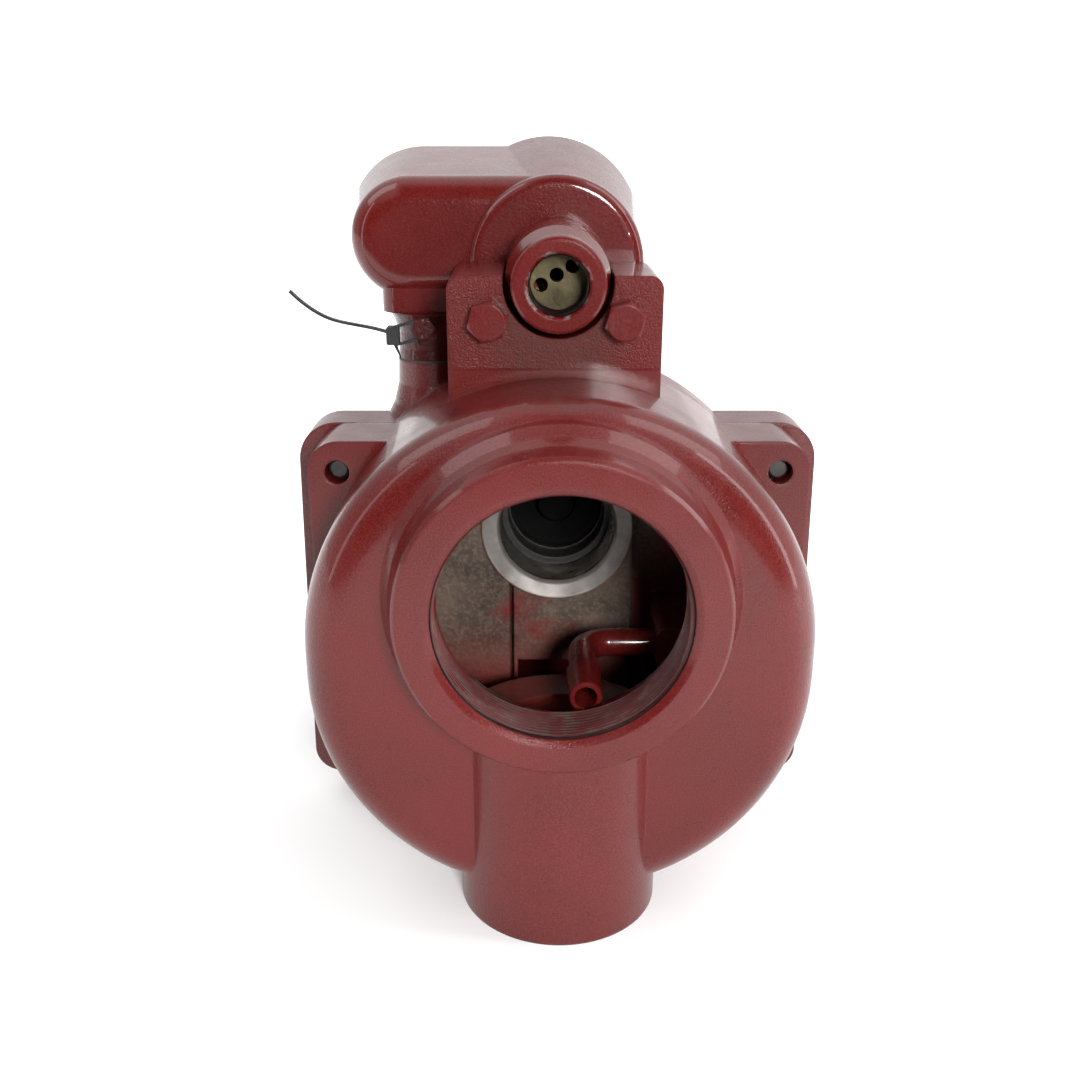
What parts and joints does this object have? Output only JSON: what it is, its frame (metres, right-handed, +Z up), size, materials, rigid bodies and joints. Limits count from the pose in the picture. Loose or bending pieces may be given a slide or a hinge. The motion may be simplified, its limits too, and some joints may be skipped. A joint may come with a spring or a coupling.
{
  "type": "submersible pump discharge head",
  "caption": "Head of a centrifugal submersible pump: red cast manifold with a large threaded riser port, threaded discharge leg, bolted discharge head with valves, and a wiring box.",
  "frame": {"origin": "on the riser port's axis, in the plane of the port's face", "axes": "+Z up, opposite the discharge leg's opening; +Y along the riser axis from the port face into the head; +X to the right seen from the riser port"},
  "size_m": [0.2616, 0.254, 0.3458],
  "materials": {
    "red_enamel": "glossy enamel over cast iron",
    "zinc_steel": "zinc plated",
    "stainless": "turned",
    "brass": "satin",
    "yellow_zinc": "yellow chromate",
    "black_rubber": "matte",
    "gasket_fibre": "compressed fibre",
    "capacitor_can": "drawn can",
    "black_nylon": "moulded"
  },
  "bodies": {
    "base": {"manifold_casting": "red_enamel", "discharge_head": "red_enamel", "head_gasket": "gasket_fibre", "head_o_ring": "black_rubber", "head_bolts": "zinc_steel", "head_washers": "zinc_steel", "return_tube": "red_enamel", "return_nipple": "red_enamel", "check_seat": "stainless", "valve_cap": "red_enamel", "valve_cap_o_ring": "black_rubber", "relief_cap": "brass", "relief_spring": "stainless", "siphon_spring": "stainless", "check_spring": "stainless", "siphon_body": "brass", "leak_port_plug": "red_enamel", "test_port_plug": "zinc_steel", "lifting_eye": "zinc_steel", "wiring_box": "red_enamel", "box_gasket": "gasket_fibre", "box_cover": "red_enamel", "cover_screws": "zinc_steel", "box_bolts": "red_enamel", "conduit_seal_disc": "yellow_zinc", "capacitor": "capacitor_can", "capacitor_terminals": "brass", "capacitor_clamp": "zinc_steel", "ground_screw": "zinc_steel", "wiring_neck": "red_enamel", "neck_gasket": "gasket_fibre", "connector_body": "black_nylon", "connector_pins": "brass", "cable_tie": "black_nylon"},
    "check_valve": {"check_poppet": "stainless", "check_seal": "black_rubber"},
    "relief_valve": {"relief_poppet": "brass"},
    "siphon_valve": {"siphon_ball": "stainless"},
    "purge": {"purge_screw": "zinc_steel"}
  },
  "joints": [
    {"name": "check_lift", "type": "slide", "parent": "base", "child": "check_valve", "axis": [0, 1, 0], "range_m": [0, 0.014], "stiffness_N_per_m": 250, "springref_m": -0.02, "deforming": ["check_spring"]},
    {"name": "relief_lift", "type": "slide", "parent": "base", "child": "relief_valve", "axis": [1, 0, 0], "range_m": [0, 0.003], "stiffness_N_per_m": 900, "springref_m": -0.01, "deforming": ["relief_spring"]},
    {"name": "siphon_lift", "type": "slide", "parent": "base", "child": "siphon_valve", "axis": [-1, 0, 0], "range_m": [0, 0.002], "stiffness_N_per_m": 120, "springref_m": -0.003, "deforming": ["siphon_spring"]},
    {"name": "purge_turn", "type": "hinge", "parent": "base", "child": "purge", "pos_m": [0, 0.23, 0], "axis": [0, 1, 0], "range_deg": [0, 360]}
  ]
}
